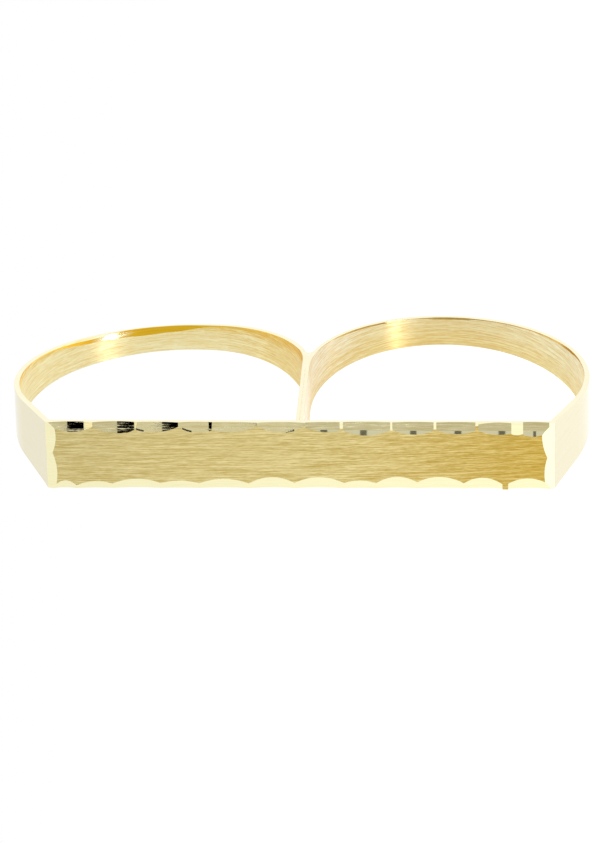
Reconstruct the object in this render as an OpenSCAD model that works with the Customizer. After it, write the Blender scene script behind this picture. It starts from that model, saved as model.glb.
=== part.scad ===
// Two finger ring: a long flat bar with diamond-cut edges, carried on two finger hoops of thin strip.
// The hoops share a divider in the middle, and all of it is soldered into one piece of metal.
// It is built upright about the bar (X along the bar, Y to the rear, Z along the fingers), with
// the origin at the middle of the bar's face, and is then laid on its side as it rests.

/* [Face bar] */
// Length of the bar's face, end to end
bar_length = 35.5; // [35:0.5:40]
// Height of the bar's face, edge to edge
bar_height = 5.3; // [4.6:0.1:7]
// Thickness of the bar
bar_thickness = 0.5; // [0.4:0.05:0.9]

/* [Diamond cut edge] */
// Angle by which every cut slopes back from the face
cut_slope = 12; // [8:0.5:16]
// Width of the sliver of edge left standing between the last two lower cuts
sliver_width = 0.4; // [0.2:0.05:0.8]
// Distance of that sliver from the middle of the bar
sliver_place = 14.15; // [14:0.05:14.5]

/* [Finger hoops] */
// Thickness of the strip that the hoops are bent from
strip_thickness = 0.4; // [0.3:0.05:0.6]
// Thickness of the divider, where both strips are dressed thin and soldered back to back
divider_thickness = 0.52; // [0.48:0.02:0.8]
// Angle by which the left hoop leaves the bar outward
left_flare = 25.9; // [24.5:0.1:32]
// Length of the left hoop's straight shoulder
left_shoulder = 4.6; // [4:0.1:5.5]
// Angle by which the right hoop leaves the bar outward
right_flare = 22.9; // [20:0.1:30]
// Length of the right hoop's straight shoulder
right_shoulder = 4.2; // [3:0.1:5]
// Angle by which each side of the ring is filed down towards the rear
side_taper = 4.75; // [3:0.25:6]
// Angle of the flat that is filed on the left hoop's upper side, on top of that taper
flat_slope = 2.5; // [1:0.1:3.5]
// Distance from the bar's face at which that flat starts beside the divider
flat_start = 13; // [12:0.5:15]
// Distance from the bar's face to the front of the solder between the hoops
solder_reach = 12.1; // [11.5:0.1:12.5]

/* [Hidden] */
$fn = 180;

polished = [0.96, 0.92, 0.79];
brushed = [0.85, 0.78, 0.52];

// Bends of each hoop's strip, from its shoulder round the back.
RADIUS = 0;
SWEEP = 1;
left_bends = [[9, 81.5], [14.6, 41], [8, 57]];
right_bends = [[10.7, 128]];

// Cuts of the wheel along each edge: the place of the cut's middle along the edge, how far it
// reaches into the face there, and the radius of the wheel's sweep.
PLACE = 0;
REACH = 1;
WHEEL = 2;
upper_cuts = [
    [-15.95, 0.75, 8.5], [-12.8, 0.85, 9], [-10.2, 0.75, 13.5], [-7.05, 0.78, 8.5],
    [-5, 0.75, 16.5], [-1.3, 0.75, 11], [2.5, 0.65, 15.5], [4.65, 0.95, 16.5],
    [8.15, 0.9, 14], [11, 0.8, 16], [13.95, 0.9, 15], [15.9, 1.05, 6.5],
];
lower_cuts = [
    [-16.55, 0.65, 3.5], [-14.35, 0.6, 14], [-11.5, 0.8, 18.5], [-8.5, 0.65, 21],
    [-5.4, 0.8, 20], [-2, 0.95, 12.8], [1.3, 0.95, 16], [4.15, 0.7, 14],
    [6.8, 1, 10.7], [9.75, 1, 14], [12.75, 0.95, 9], [15.95, 0.9, 11],
];
left_end_cuts = [[1.55, 0.65, 15], [-1.35, 0.65, 22.5]];
right_end_cuts = [[1.6, 0.8, 19], [-1.45, 0.65, 22]];

half_length = bar_length / 2;
half_height = bar_height / 2;

// Height of the plate and the strip before the ring's sides are filed.
strip_height = bar_height + 1;

// Angle of each flat that a bend is drawn with.
bend_step = 3;

// The strip's route is walked from place to place. A place is a point of the strip's outer face
// and a heading, the angle from straight back towards the outside.
POINT = 0;
HEADING = 1;
function onward(heading) = [sin(heading), cos(heading)];
function inward(heading) = [-cos(heading), sin(heading)];
function shoulder_end(flare, shoulder) = [[half_length, 0] + shoulder * onward(flare), flare];
function bend_centre(place, radius) = place[POINT] + radius * inward(place[HEADING]);
function after_bend(place, bend) =
    let (heading = place[HEADING] - bend[SWEEP])
    [bend_centre(place, bend[RADIUS]) - bend[RADIUS] * inward(heading), heading];
function before_bend(start, bends, i) =
    i == 0 ? start : after_bend(before_bend(start, bends, i - 1), bends[i - 1]);

// The last bend brings the strip onto the plane between the hoops, heading straight forward.
function closing_bend(place) =
    [place[POINT].x / (1 + cos(place[HEADING])), place[HEADING] + 180];
function whole_route(start, bends) =
    concat(bends, [closing_bend(before_bend(start, bends, len(bends)))]);
function divider_top(start, bends) =
    let (last = before_bend(start, bends, len(bends)))
    bend_centre(last, closing_bend(last)[RADIUS]).y;

left_start = shoulder_end(left_flare, left_shoulder);
right_start = shoulder_end(right_flare, right_shoulder);

// Each hoop is widest on its first bend. The left one is deepest on its second bend, the right
// one on its first.
function widest(start, bends) = bend_centre(start, bends[0][RADIUS]).x + bends[0][RADIUS];
function deepest(start, bends, i) =
    bend_centre(before_bend(start, bends, i), bends[i][RADIUS]).y + bends[i][RADIUS];
depth = max(deepest(left_start, left_bends, 1), deepest(right_start, right_bends, 0));

// Once it lies on its filed side, the ring reaches from the bar's lower edge to the deeper hoop.
lying_front = -half_height * sin(side_taper);
lying_rear = depth * cos(side_taper) + (half_height - depth * tan(side_taper)) * sin(side_taper);
lying_middle = [
    (widest(right_start, right_bends) - widest(left_start, left_bends)) / 2,
    (lying_front + lying_rear) / 2,
    -half_height * cos(side_taper),
];

// Points along one face of the strip, from the bar's face to the foot of the divider. The face is
// inset by nothing for the outer one, and by the strip's thickness for the inner one. Round the last
// bend the inset eases to the one that the divider has.
function bend_points(place, bend, inset, last_inset) =
    let (
        centre = bend_centre(place, bend[RADIUS]),
        steps = ceil(bend[SWEEP] / bend_step)
    )
    [
        for (k = [1 : steps])
            let (eased = inset + (last_inset - inset) * k / steps)
            centre - (bend[RADIUS] - eased) * inward(place[HEADING] - bend[SWEEP] * k / steps)
    ];
function face_points(flare, start, route, inset, last_inset) =
    let (last = len(route) - 1)
    concat(
        [[half_length - inset / cos(flare), 0], start[POINT] + inset * inward(flare)],
        [
            for (i = [0 : last])
                each bend_points(
                    before_bend(start, route, i), route[i], inset, i == last ? last_inset : inset
                )
        ],
        [[last_inset, bar_thickness / 2]]
    );
function reversed(points) = [for (i = [len(points) - 1 : -1 : 0]) points[i]];

// One hoop, drawn on the right: its straight shoulder, its bends and its half of the divider.
module hoop(flare, start, bends) {
    route = whole_route(start, bends);
    translate([0, 0, -strip_height / 2])
        linear_extrude(strip_height)
            polygon(concat(
                face_points(flare, start, route, 0, 0),
                reversed(face_points(flare, start, route, strip_thickness, divider_thickness / 2))
            ));
}

// The metal above the flat on the left hoop's upper side. The flat starts at a line from the bar's
// left end to the divider, and ahead of that line it lies above the filed side and cuts nothing.
module above_left_flat() {
    ahead = 1;
    across = 2 * (depth + half_length);
    translate([-half_length, 0, half_height])
        rotate([-side_taper, 0, 0])
            rotate([0, 0, atan2(flat_start, half_length)])
                rotate([-flat_slope, 0, 0])
                    translate([-across / 2, -ahead, 0])
                        cube([across, ahead + across, bar_height]);
}

module left_hoop() {
    color(polished)
        difference() {
            mirror([1, 0, 0])
                hoop(left_flare, left_start, left_bends);
            above_left_flat();
        }
}

module right_hoop() {
    color(polished)
        hoop(right_flare, right_start, right_bends);
}

// How far a hoop has turned away from the plane between the hoops, at a distance from the bar's face.
function parting(start, bends, back) =
    let (
        radius = closing_bend(before_bend(start, bends, len(bends)))[RADIUS],
        rise = max(0, back - divider_top(start, bends))
    )
    radius - sqrt(radius * radius - rise * rise);

// Solder in the V where the hoops part, with a hollow front.
module solder_fillet() {
    root = min(divider_top(left_start, left_bends), divider_top(right_start, right_bends));
    bite = divider_thickness / 4;
    horns = solder_reach + 2 * bite;
    left_side = parting(left_start, left_bends, horns);
    right_side = parting(right_start, right_bends, horns);
    color(polished)
        translate([0, 0, -strip_height / 2])
            linear_extrude(strip_height)
                polygon([
                    [0, root - bite],
                    [right_side + bite, horns],
                    [(right_side - left_side) / 2, solder_reach],
                    [-left_side - bite, horns],
                ]);
}

// One cut at an edge that runs along X, with the face above it in the plane of X and Z.
module wheel_cut(cut) {
    translate([cut[PLACE], 0, cut[REACH]])
        rotate([cut_slope, 0, 0])
            translate([0, -cut[WHEEL], 0])
                cylinder(r = cut[WHEEL], h = bar_height, center = true);
}

module edge_cuts(cuts) {
    for (cut = cuts)
        wheel_cut(cut);
}

module all_cuts() {
    mirror([0, 0, 1])
        translate([0, 0, -half_height])
            edge_cuts(upper_cuts);
    difference() {
        translate([0, 0, -half_height])
            edge_cuts(lower_cuts);
        translate([sliver_place, -bar_thickness, -bar_height])
            cube([sliver_width, 2 * bar_thickness, bar_height]);
    }
    translate([half_length, 0, 0])
        rotate([0, -90, 0])
            edge_cuts(right_end_cuts);
    mirror([1, 0, 0])
        translate([half_length, 0, 0])
            rotate([0, -90, 0])
                edge_cuts(left_end_cuts);
}

// The plate of the bar: it runs into the middle of the strip at both ends.
module face_bar() {
    left_end = half_length - strip_thickness / (2 * cos(left_flare));
    right_end = half_length - strip_thickness / (2 * cos(right_flare));
    color(brushed)
        translate([0, 0, -strip_height / 2])
            linear_extrude(strip_height)
                polygon([
                    [-left_end, 0],
                    [right_end, 0],
                    [right_end + bar_thickness * tan(right_flare), bar_thickness],
                    [-left_end - bar_thickness * tan(left_flare), bar_thickness],
                ]);
}

// Side view of the ring: full height at the bar's face, filed down evenly to the rear.
module filed_sides() {
    ahead = 1;
    behind = depth + 1;
    across = 2 * (depth + half_length);
    translate([-across / 2, 0, 0])
        rotate([90, 0, 90])
            linear_extrude(across)
                polygon([
                    [-ahead, half_height + ahead * tan(side_taper)],
                    [behind, half_height - behind * tan(side_taper)],
                    [behind, behind * tan(side_taper) - half_height],
                    [-ahead, -half_height - ahead * tan(side_taper)],
                ]);
}

module ring() {
    translate(-lying_middle)
        rotate([-side_taper, 0, 0])
            difference() {
                intersection() {
                    union() {
                        face_bar();
                        left_hoop();
                        right_hoop();
                        solder_fillet();
                    }
                    filed_sides();
                }
                all_cuts();
            }
}

ring();
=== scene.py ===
import math

import bmesh
import bpy
from mathutils import Matrix, Vector


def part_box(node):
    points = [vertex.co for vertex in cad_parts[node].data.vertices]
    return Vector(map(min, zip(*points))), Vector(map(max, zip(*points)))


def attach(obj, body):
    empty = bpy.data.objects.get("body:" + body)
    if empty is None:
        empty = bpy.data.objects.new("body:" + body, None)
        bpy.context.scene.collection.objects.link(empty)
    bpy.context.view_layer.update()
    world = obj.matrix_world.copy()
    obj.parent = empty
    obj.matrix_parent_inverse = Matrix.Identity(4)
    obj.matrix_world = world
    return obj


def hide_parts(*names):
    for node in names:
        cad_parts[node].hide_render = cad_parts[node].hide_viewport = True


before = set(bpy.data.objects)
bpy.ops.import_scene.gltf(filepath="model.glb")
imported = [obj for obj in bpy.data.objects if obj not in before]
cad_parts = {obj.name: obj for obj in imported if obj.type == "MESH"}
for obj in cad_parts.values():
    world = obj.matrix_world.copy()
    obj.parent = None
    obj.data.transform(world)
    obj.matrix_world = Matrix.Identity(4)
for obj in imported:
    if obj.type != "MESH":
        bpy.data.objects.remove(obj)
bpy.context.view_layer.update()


# Face bar: a flat plate of yellow gold, sawn to length and soldered across the front of both hoops.
# Its face is brushed along its length, and a turning wheel has cut bright shallow scallops into all
# four edges, with a second and steeper pass along the right half of the top.
MM = 0.001
side_taper = math.radians(4.75)
bar_length = 35.5
bar_height = 5.3
bar_thickness = 0.5
left_flare = math.radians(25.9)
right_flare = math.radians(22.9)
half_length = bar_length / 2
half_height = bar_height / 2

# The ring lies on its filed side. The left hoop's first bend is its widest place, and from there
# the middle of the bar's face is found in the frame.
left_shoulder = 4.6
left_bends = [(9.0, 81.5), (14.6, 41.0), (8.0, 57.0)]
widest_bend = left_bends[0][0]
left_reach = (half_length + left_shoulder * math.sin(left_flare)
              + widest_bend * (1 - math.cos(left_flare)))
low_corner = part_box("ring")[0]
bar_middle = Vector((
    low_corner.x + left_reach * MM,
    low_corner.y + half_height * MM * math.sin(side_taper),
    low_corner.z + half_height * MM * math.cos(side_taper),
))
laid_down = Matrix.Rotation(-side_taper, 3, "X")
ring_up = laid_down @ Vector((0, 0, 1))


def laid(along, back, up):
    """From the ring stood upright behind its bar, in millimetres, to where it lies in the frame."""
    return bar_middle + laid_down @ (Vector((along, back, up)) * MM)


def filed_height(back):
    """Half the ring's height at a distance behind the bar's face: its sides are filed to a taper."""
    return half_height - back * math.tan(side_taper)


def sum_of(tree, first, factor, second):
    """The first value times a factor, plus the second value. Each is a number or a node's output."""
    total = tree.nodes.new("ShaderNodeMath")
    total.operation = "MULTIPLY_ADD"
    for socket, value in zip(total.inputs, (first, factor, second)):
        if isinstance(value, (int, float)):
            socket.default_value = value
        else:
            tree.links.new(value, socket)
    return total.outputs["Value"]


def ramp(tree, value, low, high, to_low=0.0, to_high=1.0, smooth=False):
    """Goes from to_low to to_high while the value goes from low to high."""
    shift = tree.nodes.new("ShaderNodeMapRange")
    if smooth:
        shift.interpolation_type = "SMOOTHSTEP"
    shift.inputs["From Min"].default_value = low
    shift.inputs["From Max"].default_value = high
    shift.inputs["To Min"].default_value = to_low
    shift.inputs["To Max"].default_value = to_high
    tree.links.new(value, shift.inputs["Value"])
    return shift.outputs["Result"]


# The marks are three grains laid over each other. Each has its length and width, as multiples of the
# mark's own, and its share of the whole.
mark_layers = ((2.0, 1.2, 0.35), (0.6, 1.0, 0.4), (0.18, 0.9, 0.25))


def gold_finish(name, light, dark, marks, softness, roughness, depth, slant=0.0, spread=0.0,
                tints=(), rough_from=0.3):
    """Yellow gold with fine marks along the ring: light and dark are the colours between and in the
    marks, marks gives their length and width in millimetres, softness how gently one colour turns
    into the other, depth how deep the marks are, slant how far they rise at the right end in
    degrees, and spread how much the surface scatters up and down. Each tint deepens the colour from
    a place to a place, measured in millimetres along X or Z or square to the ring's upper side, and
    rough_from is where in the marks the roughness starts to rise."""
    rough_to = 0.7
    finish = bpy.data.materials.new(name)
    finish.use_nodes = True
    tree = finish.node_tree
    shader = tree.nodes["Principled BSDF"]
    shader.inputs["Metallic"].default_value = 1.0
    shader.inputs["Anisotropic"].default_value = spread
    place = tree.nodes.new("ShaderNodeTexCoord").outputs["Object"]
    axes = tree.nodes.new("ShaderNodeSeparateXYZ")
    tree.links.new(place, axes.inputs["Vector"])

    if slant:
        run = sum_of(tree, axes.outputs["X"], 1.0, half_length * MM)
        rise = math.tan(math.radians(slant)) / (4 * half_length * MM)
        lifted = sum_of(tree, sum_of(tree, run, run, 0.0), -rise, axes.outputs["Z"])
        swept = tree.nodes.new("ShaderNodeCombineXYZ")
        tree.links.new(axes.outputs["X"], swept.inputs["X"])
        tree.links.new(axes.outputs["Y"], swept.inputs["Y"])
        tree.links.new(lifted, swept.inputs["Z"])
        place = swept.outputs["Vector"]

    def noise(length, width):
        stood_up = tree.nodes.new("ShaderNodeMapping")
        stood_up.inputs["Rotation"].default_value = (side_taper, 0, 0)
        stood_up.inputs["Scale"].default_value = (1 / (length * MM), 1 / (length * MM), 1 / (width * MM))
        tree.links.new(place, stood_up.inputs["Vector"])
        grain = tree.nodes.new("ShaderNodeTexNoise")
        grain.inputs["Scale"].default_value = 1.0
        grain.inputs["Detail"].default_value = 1.0
        grain.inputs["Roughness"].default_value = 0.6
        tree.links.new(stood_up.outputs["Vector"], grain.inputs["Vector"])
        return grain.outputs["Fac"]

    def blend(kind, factor, first, second):
        mix = tree.nodes.new("ShaderNodeMix")
        mix.data_type = "RGBA"
        mix.blend_type = kind
        tree.links.new(factor, mix.inputs["Factor"])
        for socket, colour in (("A", first), ("B", second)):
            if isinstance(colour, tuple):
                mix.inputs[socket].default_value = (*colour, 1)
            else:
                tree.links.new(colour, mix.inputs[socket])
        return mix.outputs["Result"]

    field = 0.0
    for length, width, share in mark_layers:
        field = sum_of(tree, noise(length * marks[0], width * marks[1]), share, field)
    colour = blend("MIX", ramp(tree, field, 0.5 - softness, 0.5 + softness), dark, light)

    # A tint's start is shaken by the marks, so that the dark ones take it first.
    measures = {
        "X": axes.outputs["X"],
        "Z": axes.outputs["Z"],
        "side": sum_of(tree, axes.outputs["Y"], math.tan(2 * side_taper), axes.outputs["Z"]),
    }
    for measure, start, stop, tint in tints:
        shake = -2 * (stop - start) * MM
        shaken = sum_of(tree, field, shake, measures[measure])
        part = ramp(tree, shaken, start * MM + shake / 2, stop * MM + shake / 2)
        colour = blend("MULTIPLY", part, colour, tint)
    tree.links.new(colour, shader.inputs["Base Color"])
    tree.links.new(ramp(tree, field, rough_from, rough_to, *roughness), shader.inputs["Roughness"])

    relief = tree.nodes.new("ShaderNodeBump")
    relief.inputs["Strength"].default_value = 1.0
    relief.inputs["Distance"].default_value = depth * MM
    tree.links.new(field, relief.inputs["Height"])
    tree.links.new(relief.outputs["Normal"], shader.inputs["Normal"])
    if spread:
        upward = tree.nodes.new("ShaderNodeCombineXYZ")
        for axis, part in zip("XYZ", ring_up):
            upward.inputs[axis].default_value = part
        tree.links.new(upward.outputs["Vector"], shader.inputs["Tangent"])
    return finish


brushed = gold_finish("brushed_gold", (1.0, 0.86, 0.43), (0.64, 0.49, 0.15), (2.4, 0.06), 0.11,
                      (0.38, 0.46), 0.0015, slant=3.6, spread=0.9,
                      tints=[("X", 1, 17, (0.85, 0.71, 0.33))])
# The cut facets are paler than the gold's own yellow. This is painted highlight that stands in for the
# whitening of their bright reflections, and the right end's cuts are palest of all.
bright_cut = gold_finish("bright_cut_gold", (0.94, 0.90, 0.59), (0.88, 0.82, 0.49), (4.0, 0.06), 0.2,
                         (0.03, 0.08), 0.0005)
pale_cut = gold_finish("pale_cut_gold", (0.98, 0.96, 0.72), (0.96, 0.92, 0.66), (4.0, 0.06), 0.2,
                       (0.03, 0.08), 0.0005)
wheel_lined = gold_finish("wheel_lined_gold", (0.98, 0.90, 0.54), (0.78, 0.66, 0.31), (3.0, 0.09), 0.13,
                          (0.03, 0.6), 0.0006, rough_from=0.52)
# The polished gold is paled the same way, painted highlight for the whitening of its bright reflections.
polished = gold_finish("polished_gold", (0.83, 0.77, 0.57), (0.78, 0.72, 0.50), (3.0, 0.2), 0.3,
                       (0.1, 0.2), 0.001)


def new_piece(name, points, faces, finishes, finish_of=None):
    """A mesh piece from points in the frame, its faces, and the number of each face's finish."""
    mesh = bpy.data.meshes.new(name)
    mesh.from_pydata(points, [], faces)
    for finish in finishes:
        mesh.materials.append(finish)
    if finish_of:
        mesh.polygons.foreach_set("material_index", finish_of)
    worked = bmesh.new()
    worked.from_mesh(mesh)
    bmesh.ops.recalc_face_normals(worked, faces=worked.faces)
    worked.to_mesh(mesh)
    worked.free()
    piece = bpy.data.objects.new(name, mesh)
    bpy.context.scene.collection.objects.link(piece)
    return piece


def walled(count):
    """Faces of a solid whose first ring of points is its one end and whose second is its other."""
    faces = [list(range(count)), list(range(2 * count - 1, count - 1, -1))]
    for i in range(count):
        j = (i + 1) % count
        faces.append([i, j, count + j, count + i])
    return faces


def prism(outline, half_height_at):
    """Points and faces of a plate: its plan outline, filed above and below."""
    points = [laid(x, y, -half_height_at(y)) for x, y in outline]
    points += [laid(x, y, half_height_at(y)) for x, y in outline]
    return points, walled(len(outline))


plate_outline = [
    (-half_length, 0),
    (half_length, 0),
    (half_length + bar_thickness * math.tan(right_flare), bar_thickness),
    (-half_length - bar_thickness * math.tan(left_flare), bar_thickness),
]
plate_points, plate_faces = prism(plate_outline, filed_height)
face_bar = new_piece("face_bar", plate_points, plate_faces,
                     [brushed, bright_cut, polished, wheel_lined, pale_cut], [2, 2, 0, 2, 2, 2])

# Each cut: the place of its middle along the edge, its reach into the face, the radius of the
# wheel's sweep and the slope in degrees.
upper_left_cuts = [
    (-15.95, 0.75, 8.5, 17.5), (-12.8, 0.85, 9, 18), (-10.2, 0.75, 13.5, 15.2),
    (-7.05, 0.78, 8.5, 15.4), (-5, 0.75, 16.5, 14.8), (-1.3, 0.75, 11, 15.1),
]
lower_cuts = [
    (-16.55, 0.65, 3.5, 12), (-14.35, 0.6, 14, 12), (-11.5, 0.8, 18.5, 12), (-8.5, 0.65, 21, 12),
    (-5.4, 0.8, 20, 12), (-2, 0.95, 12.8, 12), (1.3, 0.95, 16, 12), (4.15, 0.7, 14, 12),
    (6.8, 1, 10.7, 12), (9.75, 1, 14, 12), (12.75, 0.95, 9, 12), (15.95, 0.9, 11, 12),
]
left_end_cuts = [(1.55, 0.65, 15, 12), (-1.35, 0.65, 22.5, 12)]
right_end_cuts = [(1.6, 0.8, 19, 12), (-1.45, 0.65, 22, 12)]

# Along the right half of the upper edge every cut was made twice, the second time more steeply: the
# place, reach and wheel of the first pass, where both start and stop, how far the second pass
# reaches, and its slope.
first_slope = 13.2
twice_cut = [
    ((2.0, 0.72, 15.5), (0.42, 2.82), 0.55, 17.5), ((4.65, 0.98, 15), (3.05, 6.35), 0.6, 18),
    ((8.0, 0.9, 14), (6.5, 9.38), 0.62, 17.5), ((11, 0.85, 15), (9.57, 12.3), 0.62, 18),
    ((13.95, 0.9, 15), (12.5, 14.8), 0.62, 18), ((16.3, 1.05, 6.5), (15.62, 17.45), 0.66, 18),
]

# Flat passes: bright ridges between the double cuts, one plain facet near the right end, and the
# edge broken above the last three cuts. A straight pass is cut with a wheel of so wide a sweep.
straight = 400
flat_passes = [
    ((6.5, 0.58, straight, 6.5), (0.35, 12.6)), ((15.2, 0.92, 12, 5), (14.8, 15.62)),
    ((11, 0.1, straight, 45), (9.6, 12.45)), ((13.6, 0.3, straight, 45), (12.5, 14.85)),
    ((16, 0.2, straight, 45), (14.85, 17.3)),
]

# Where the wheel touched the face again at a flatter angle, it left short dark facets at the foot
# of four of the upper cuts.
touches = [
    ((-12.8, 0.885, 14, 11.2), (-12.15, -11.75)), ((-10.2, 0.785, 18.2, 11.2), (-11.45, -10.9)),
    ((-7.05, 0.815, 11.6, 11.2), (-8.2, -7.55)), ((-1.3, 0.785, 14.8, 11.2), (-0.95, -0.35)),
]

# The sliver of edge that the wheel left standing between the last two lower cuts.
sliver = (14.15, 14.55)


def at_lower_edge(x, y, z):
    return laid(x, y, z - half_height)


def at_upper_edge(x, y, z):
    return laid(x, y, half_height - z)


def at_right_end(x, y, z):
    return laid(half_length - z, y, x)


def at_left_end(x, y, z):
    return laid(z - half_length, y, x)


def wheel_sweep(cut, at_edge, limits=(-half_length, half_length), finish=bright_cut):
    """The metal that one pass of the wheel takes away, drawn at an edge with the face above it. It
    is drawn a little wider than the cut that it leaves, and well clear of the metal above."""
    place, reach, wheel, slope = cut
    slope = math.radians(slope)
    wider = 1.3
    widest = 0.9 * wheel
    width = min(wider * math.sqrt(2 * wheel * reach * math.sin(slope)), widest)
    start = max(-width, limits[0] - place)
    stop = min(width, limits[1] - place)
    steps = 40
    clear = 3
    section = []
    for i in range(steps + 1):
        s = start + (stop - start) * i / steps
        section.append((s, wheel - math.sqrt(wheel * wheel - s * s)))
    section += [(stop, clear), (start, clear)]
    points = []
    for run in (-reach, 2 * reach + bar_thickness):
        for s, out in section:
            points.append(at_edge(
                place + s,
                run * math.sin(slope) - out * math.cos(slope),
                reach - run * math.cos(slope) - out * math.sin(slope),
            ))
    return new_piece("wheel_sweep", points, walled(len(section)), [finish])


def second_reach(first_reach, foot, slope):
    """The reach of a steeper pass that meets the first pass along a line at the foot."""
    first_fall = math.tan(math.radians(first_slope))
    return foot + (first_reach - foot) * first_fall / math.tan(math.radians(slope))


def cut_away(piece, tools):
    """Cuts the tools out of a piece and keeps their finish on the cut faces."""
    for tool in tools:
        step = piece.modifiers.new("cut", "BOOLEAN")
        step.operation = "DIFFERENCE"
        step.solver = "EXACT"
        step.material_mode = "TRANSFER"
        step.object = tool
    settled = piece.evaluated_get(bpy.context.evaluated_depsgraph_get())
    mesh = bpy.data.meshes.new_from_object(settled)
    piece.modifiers.clear()
    piece.data = mesh
    for tool in tools:
        bpy.data.objects.remove(tool)


def soften(piece, angle):
    """Smooth shading, with edges sharper than the angle kept crisp."""
    piece.data.shade_smooth()
    piece.data.set_sharp_from_angle(angle=math.radians(angle))


sweeps = [wheel_sweep(cut, at_upper_edge, finish=wheel_lined) for cut in upper_left_cuts]
for (place, first_reach, wheel), limits, foot, slope in twice_cut:
    sweeps.append(wheel_sweep((place, first_reach, wheel, first_slope), at_upper_edge, limits))
    sweeps.append(wheel_sweep((place, second_reach(first_reach, foot, slope), wheel, slope),
                              at_upper_edge, limits, wheel_lined))
sweeps += [wheel_sweep(cut, at_upper_edge, limits) for cut, limits in flat_passes + touches]
sweeps += [wheel_sweep(cut, at_lower_edge) for cut in lower_cuts[:-2]]
sweeps.append(wheel_sweep(lower_cuts[-2], at_lower_edge, (-half_length, sliver[0])))
sweeps.append(wheel_sweep(lower_cuts[-1], at_lower_edge, (sliver[1], 2 * half_length)))
sweeps += [wheel_sweep(cut, at_left_end) for cut in left_end_cuts]
sweeps += [wheel_sweep(cut, at_right_end, finish=pale_cut) for cut in right_end_cuts]
cut_away(face_bar, sweeps)
soften(face_bar, 4)
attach(face_bar, "root")
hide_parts("ring")


# Left hoop: one strip of thin gold, bent from the bar's left end round the back to the middle, where
# its end runs forward as half of the divider. It is polished outside, brushed round inside, and its
# upper inner edge was scraped to a long bright lens where the file slipped wide. The lens shines where
# it mirrors the strip light, and its cream base there is painted highlight.
strip_thickness = 0.4
divider_half = 0.26
# The inner wall darkens towards the divider. Along its upper edge it is deeper and more golden, which is
# painted shade under the rim and the scraped lens.
inner_wall = gold_finish("hoop_inner_gold", (1.0, 0.94, 0.59), (0.86, 0.68, 0.29), (2.2, 0.06), 0.1,
                         (0.33, 0.40), 0.0015, spread=0.97,
                         tints=[("X", -6, -1.5, (0.89, 0.80, 0.62)),
                                ("side", 2.75, 3.4, (0.95, 0.79, 0.38))])
# The scraped lens's base is painted. It is cream in the middle of the lower facet, where the strip
# light's highlight falls, and at the left end of the upper facet, where it shows a pale reflection, so
# that both show white. It is deep orange elsewhere.
scraped = gold_finish("scraped_edge_gold", (0.98, 0.94, 0.66), (0.86, 0.72, 0.32), (3.5, 0.05), 0.12,
                      (0.03, 0.1), 0.0004, tints=[("X", -14.6, -13.2, (0.93, 0.60, 0.07))])
scraped_low = gold_finish("scraped_low_gold", (1.0, 0.93, 0.62), (0.96, 0.76, 0.36), (3.5, 0.05), 0.12,
                          (0.06, 0.13), 0.0001,
                          tints=[("X", -14.9, -15.6, (0.98, 0.66, 0.08)),
                                 ("X", -14.1, -12.6, (0.98, 0.68, 0.06))])

# The rims are rounded by a polishing wheel, which doesn't reach the outer corners where the hoops
# come together: there the rounding starts at a distance from the plane between them, and grows.
# The burr is the least that was broken off the upper inner edge.
rim_round = 0.04
rounding_starts = 0.25
rounding_grows = 0.3
polished_away = 0.002
burr = 0.002
upper_lean = 0.8
lower_lean = 0.4
quarters = (0.25, 0.5, 0.75, 1.0)


def strip_route(flare, shoulder, bends):
    """Stations along the strip's outer face, each a point, the way across the strip to its inner face
    and the strip's thickness. A heading is measured from straight back towards the outside. The last
    bend closes onto the plane between the hoops, and the strip is dressed thinner round it."""
    bend_step = math.radians(1.5)
    stations = [(half_length + bar_thickness * math.tan(flare), bar_thickness,
                 -1 / math.cos(flare), 0, strip_thickness)]
    for part in quarters:
        at = part * shoulder
        stations.append((half_length + at * math.sin(flare), at * math.cos(flare),
                         -math.cos(flare), math.sin(flare), strip_thickness))
    heading = flare
    for bend in [*bends, None]:
        along, back = stations[-1][:2]
        if bend:
            radius, sweep = bend[0], math.radians(bend[1])
            last_thickness = strip_thickness
        else:
            radius, sweep = along / (1 + math.cos(heading)), heading + math.pi
            last_thickness = divider_half
        centre = (along - radius * math.cos(heading), back + radius * math.sin(heading))
        steps = math.ceil(sweep / bend_step)
        for k in range(1, steps + 1):
            h = heading - sweep * k / steps
            stations.append((centre[0] + radius * math.cos(h), centre[1] - radius * math.sin(h),
                             -math.cos(h), math.sin(h),
                             strip_thickness + (last_thickness - strip_thickness) * k / steps))
        heading -= sweep
    top = stations[-1][1]
    for part in quarters:
        stations.append((0.0, top + (bar_thickness - top) * part, 1, 0, divider_half))
    return stations


def width_at(table, length):
    """The width of a scrape at a length along the strip, from a table of lengths and widths."""
    for (start, width), (stop, next_width) in zip(table, table[1:]):
        if start <= length < stop:
            part = (length - start) / (stop - start)
            return width + (next_width - width) * (1 - math.cos(part * math.pi)) / 2
    return 0.0


def strip_section(along, thickness, upper, lower):
    """The strip's section at a distance from the plane between the hoops, as points round it: how far
    each lies in from the outer face, whether above or below, and its drop from the filed side."""
    corner = [math.radians(turn) for turn in (0, 30, 60, 90)]
    round_out = rim_round * min(1, max(0, along - rounding_starts) / rounding_grows)
    section = []
    for turn in corner:
        section.append((polished_away + round_out * (1 - math.cos(turn)), 1,
                        round_out * (1 - math.sin(turn))))
    section += [
        (thickness - 3 * burr - lower_lean * lower - upper_lean * upper, 1, 0),
        (thickness - 2 * burr - lower_lean * lower, 1, burr + upper),
        (thickness, 1, 3 * burr + upper + lower),
    ]
    for turn in corner:
        section.append((thickness - rim_round * (1 - math.cos(turn)), -1,
                        rim_round * (1 - math.sin(turn))))
    for turn in corner:
        section.append((polished_away + round_out * (1 - math.sin(turn)), -1,
                        round_out * (1 - math.cos(turn))))
    return section


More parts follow.
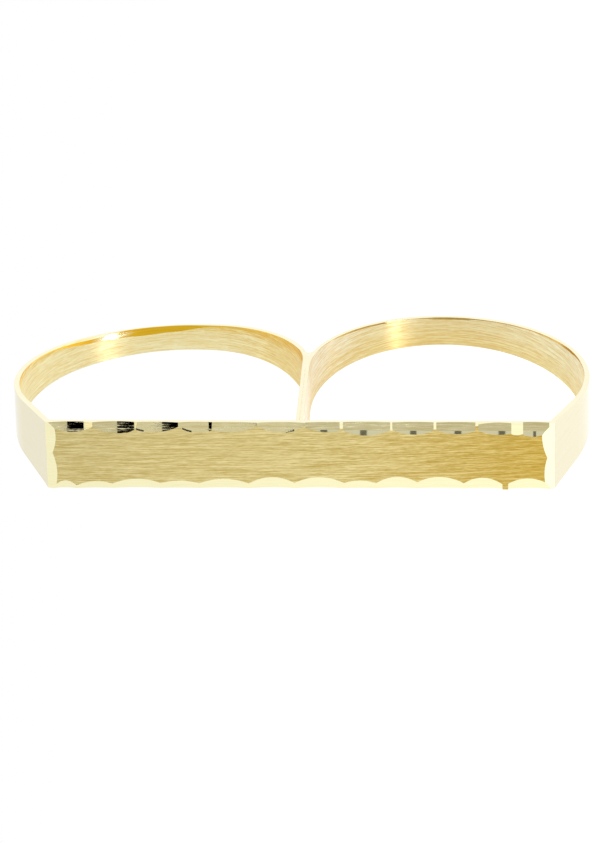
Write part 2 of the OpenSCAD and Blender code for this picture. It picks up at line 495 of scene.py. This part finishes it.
def strip_piece(name, side, stations, inside, scrape_finish, upper_scrape, lower_scrape,
                filed_off=lambda along, back: 0.0):
    """Sweeps the strip's section along its stations: inside is the inner face's finish, the scrapes
    are the two facets on the upper inner edge, and filed_off is what a flat takes off the side."""
    points, faces, finish_of = [], [], []
    length = 0
    last = stations[0]
    for station in stations:
        along, back, across, inward, thickness = station
        length += math.hypot(along - last[0], back - last[1])
        last = station
        section = strip_section(along, thickness, width_at(upper_scrape, length),
                                width_at(lower_scrape, length))
        for inset, way, drop in section:
            x, y = along + inset * across, back + inset * inward
            if way > 0:
                drop += filed_off(side * x, y)
            points.append(laid(side * x, y, way * (filed_height(y) - drop)))
    around = len(section)
    outer, inner, upper_facet, lower_facet = range(4)
    band_finish = 4 * [outer] + [upper_facet, lower_facet, inner] + 8 * [outer]
    for i in range(len(stations) - 1):
        for k in range(around):
            n = (k + 1) % around
            faces.append([i * around + k, i * around + n,
                          (i + 1) * around + n, (i + 1) * around + k])
            finish_of.append(band_finish[k])
    faces.append(list(range(around)))
    faces.append([(len(stations) - 1) * around + k for k in reversed(range(around))])
    finish_of += 2 * [outer]
    return new_piece(name, points, faces, [polished, inside, scraped, scrape_finish], finish_of)


# The flat on the left hoop's upper side starts at a line from the bar's left end to the divider.
flat_slope = math.radians(2.5)
flat_start = 13.0


def flat_depth(along, back):
    """What the flat takes off the left hoop's upper side at a place."""
    turn = math.atan2(flat_start, half_length)
    past_start = back * math.cos(turn) - (along + half_length) * math.sin(turn)
    return max(0, past_start) * math.tan(flat_slope)


left_upper_scrape = [(13.5, 0.0), (17.8, 0.15), (21.0, 0.03), (27.5, 0.0)]
left_lower_scrape = [
    (5.0, 0.0), (7.0, 0.03), (13.5, 0.04), (17.8, 0.25), (22.0, 0.5), (24.0, 0.42),
    (27.5, 0.05), (31.0, 0.03), (34.0, 0.0),
]
left_hoop = strip_piece("left_hoop", -1, strip_route(left_flare, left_shoulder, left_bends),
                        inner_wall, scraped_low, left_upper_scrape, left_lower_scrape, flat_depth)
soften(left_hoop, 13)
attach(left_hoop, "root")
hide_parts("ring")


# Right hoop: the same strip, bent a little deeper and rounder for the second finger, and soldered
# to the left one along the divider. Its upper inner edge was broken in one narrow facet alone, so
# the table of the upper facet is empty.
# Next to the divider the wall is painted pale and grey, a painted sheen. It is deeper gold towards the
# bottom and greyer again at the right end.
paling_wall = gold_finish("right_inner_gold", (1.0, 0.98, 0.87), (0.84, 0.70, 0.46), (2.6, 0.06), 0.1,
                          (0.37, 0.44), 0.0015, spread=0.97,
                          tints=[("X", 1, 4.5, (1.0, 0.96, 0.74)), ("Z", 3.4, 0.4, (0.96, 0.86, 0.60)),
                                 ("X", 12, 18, (0.93, 0.97, 1.08))])
# The narrow broken facet is painted a dark brown-orange, painted shade along the upper inner edge.
painted_shade_edge = gold_finish("broken_edge_painted_shade", (0.80, 0.55, 0.16), (0.45, 0.26, 0.05), (3.5, 0.05), 0.12,
                        (0.1, 0.2), 0.0004)
right_shoulder = 4.2
right_bends = [(10.7, 128.0)]
right_upper_scrape = []
right_lower_scrape = [
    (6.0, 0.0), (10.0, 0.04), (12.8, 0.16), (17.5, 0.07), (22.3, 0.05), (22.9, 0.14), (25.2, 0.14),
    (25.8, 0.08), (27.4, 0.02), (28.6, 0.02), (29.1, 0.1), (32.0, 0.11), (35.0, 0.03), (37.0, 0.0),
]
right_hoop = strip_piece("right_hoop", 1, strip_route(right_flare, right_shoulder, right_bends),
                         paling_wall, painted_shade_edge, right_upper_scrape, right_lower_scrape)
soften(right_hoop, 13)
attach(right_hoop, "root")
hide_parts("ring")


# Solder: gold solder that ran into the V where the hoops part, and was then filed to just under the
# rims. Its front is hollow, and it is wider to the right, where the hoop bends away sooner.
solder_root = 9.43
solder_front = 12.1
under_rims = 0.005
solder_outline = [
    (0, solder_root), (0.6, solder_front + 0.3), (0.36, solder_front + 0.12),
    (0.2, solder_front + 0.02), (0.12, solder_front), (0.04, solder_front + 0.02),
    (-0.08, solder_front + 0.12), (-0.27, solder_front + 0.3),
]
solder_points, solder_faces = prism(solder_outline, lambda back: filed_height(back) - under_rims)
solder_seam = new_piece("solder_seam", solder_points, solder_faces, [polished])
soften(solder_seam, 30)
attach(solder_seam, "root")
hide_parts("ring")


# Table: a plain white light table that the ring lies on, a little brighter to the right, in a pale
# room that is greyer towards the camera, with a few cards that the gold mirrors.
def glow(name, brightness, corners, seen=False):
    """A flat card that gives even light."""
    paper = bpy.data.materials.new(name)
    paper.use_nodes = True
    nodes, links = paper.node_tree.nodes, paper.node_tree.links
    nodes.clear()
    light = nodes.new("ShaderNodeEmission")
    light.inputs["Strength"].default_value = brightness
    links.new(light.outputs["Emission"], nodes.new("ShaderNodeOutputMaterial").inputs["Surface"])
    sheet = new_piece(name, corners, [[0, 1, 2, 3]], [paper])
    sheet.visible_camera = seen
    return sheet


def upright_card(name, brightness, left, right, top):
    """A card that stands on the table, from its left foot to its right one, in millimetres."""
    feet = [Vector((*left, 0)) * MM, Vector((*right, 0)) * MM]
    rise = Vector((0, 0, top * MM))
    return glow(name, brightness, [feet[0], feet[1], feet[1] + rise, feet[0] + rise])


def sides_of(tree, output):
    """The X, Y and Z of a place or a direction."""
    apart = tree.nodes.new("ShaderNodeSeparateXYZ")
    tree.links.new(tree.nodes.new("ShaderNodeTexCoord").outputs[output], apart.inputs["Vector"])
    return apart.outputs


table_reach = 0.8
table_top = -0.00002
table_light = (1.0, 1.2)
table = glow("light_table", table_light[0], [
    (-table_reach, -table_reach, table_top), (table_reach, -table_reach, table_top),
    (table_reach, table_reach, table_top), (-table_reach, table_reach, table_top),
], seen=True)
paper = table.data.materials[0].node_tree
brighter = ramp(paper, sides_of(paper, "Object")["X"], -0.015, 0.03, *table_light)
paper.links.new(brighter, paper.nodes["Emission"].inputs["Strength"])

room = bpy.data.worlds.new("room")
room.use_nodes = True
air = room.node_tree
direction = sides_of(air, "Generated")
front_to_back = ramp(air, direction["Y"], -0.9, 0.3, 0.7, 1.25, smooth=True)
overhead = ramp(air, direction["Z"], 0.5, 1.0, 0.0, 0.2, smooth=True)
air.links.new(sum_of(air, front_to_back, 1.0, overhead), air.nodes["Background"].inputs["Strength"])
air.nodes["Background"].inputs["Color"].default_value = (1, 1, 1, 1)
bpy.context.scene.world = room

upright_card("grey_card_low", 0.68, (-800, -450), (330, -450), 32)
upright_card("grey_card_middle", 0.73, (-800, -451), (330, -451), 64)
upright_card("grey_card_high", 0.64, (-800, -452), (330, -452), 200)
upright_card("far_black_card", 0.14, (-14, -400), (9, -400), 26)
upright_card("black_card", 0.0, (-28.3, -55), (-16.7, -55), 20)
upright_card("low_black_card", 0.0, (-60, -90), (60, -90), 3)
upright_card("bright_card", 1.1, (-37, -55.5), (-28.3, -55.5), 20)
upright_card("strip_light", 22.0, (55.3, -64), (59, -61), 80)


# Camera: a long lens, a little above the ring and turned slightly to its right. Its angles and its
# distance are measured from the ring stood upright, in degrees and millimetres.
view_rise = math.radians(29.3)
view_turn = math.radians(-3.325)
view_roll = math.radians(1.503)
view_distance = 443.7
view_shift = (0.001, -2.429)
image_height = 843
pixel = 0.07
focal_in_images = view_distance / (image_height * pixel)
level = Vector((math.cos(view_turn), -math.sin(view_turn), 0))
deep = Vector((math.sin(view_turn), math.cos(view_turn), 0))
upright = math.sin(view_rise) * deep + math.cos(view_rise) * Vector((0, 0, 1))
looking = math.cos(view_rise) * deep - math.sin(view_rise) * Vector((0, 0, 1))
right = math.cos(view_roll) * level - math.sin(view_roll) * upright
up = math.sin(view_roll) * level + math.cos(view_roll) * upright
eye = -view_distance * looking - view_shift[0] * right - view_shift[1] * up
lens = bpy.data.cameras.new("camera")
lens.sensor_fit = "VERTICAL"
lens.sensor_height = 24
lens.lens = focal_in_images * lens.sensor_height
lens.clip_start = 0.01
camera = bpy.data.objects.new("camera", lens)
axes = Matrix((laid_down @ right, laid_down @ up, -(laid_down @ looking))).transposed()
camera.matrix_world = Matrix.Translation(laid(*eye)) @ axes.to_4x4()
bpy.context.scene.collection.objects.link(camera)
bpy.context.scene.camera = camera
bpy.context.scene.view_settings.view_transform = "Standard"
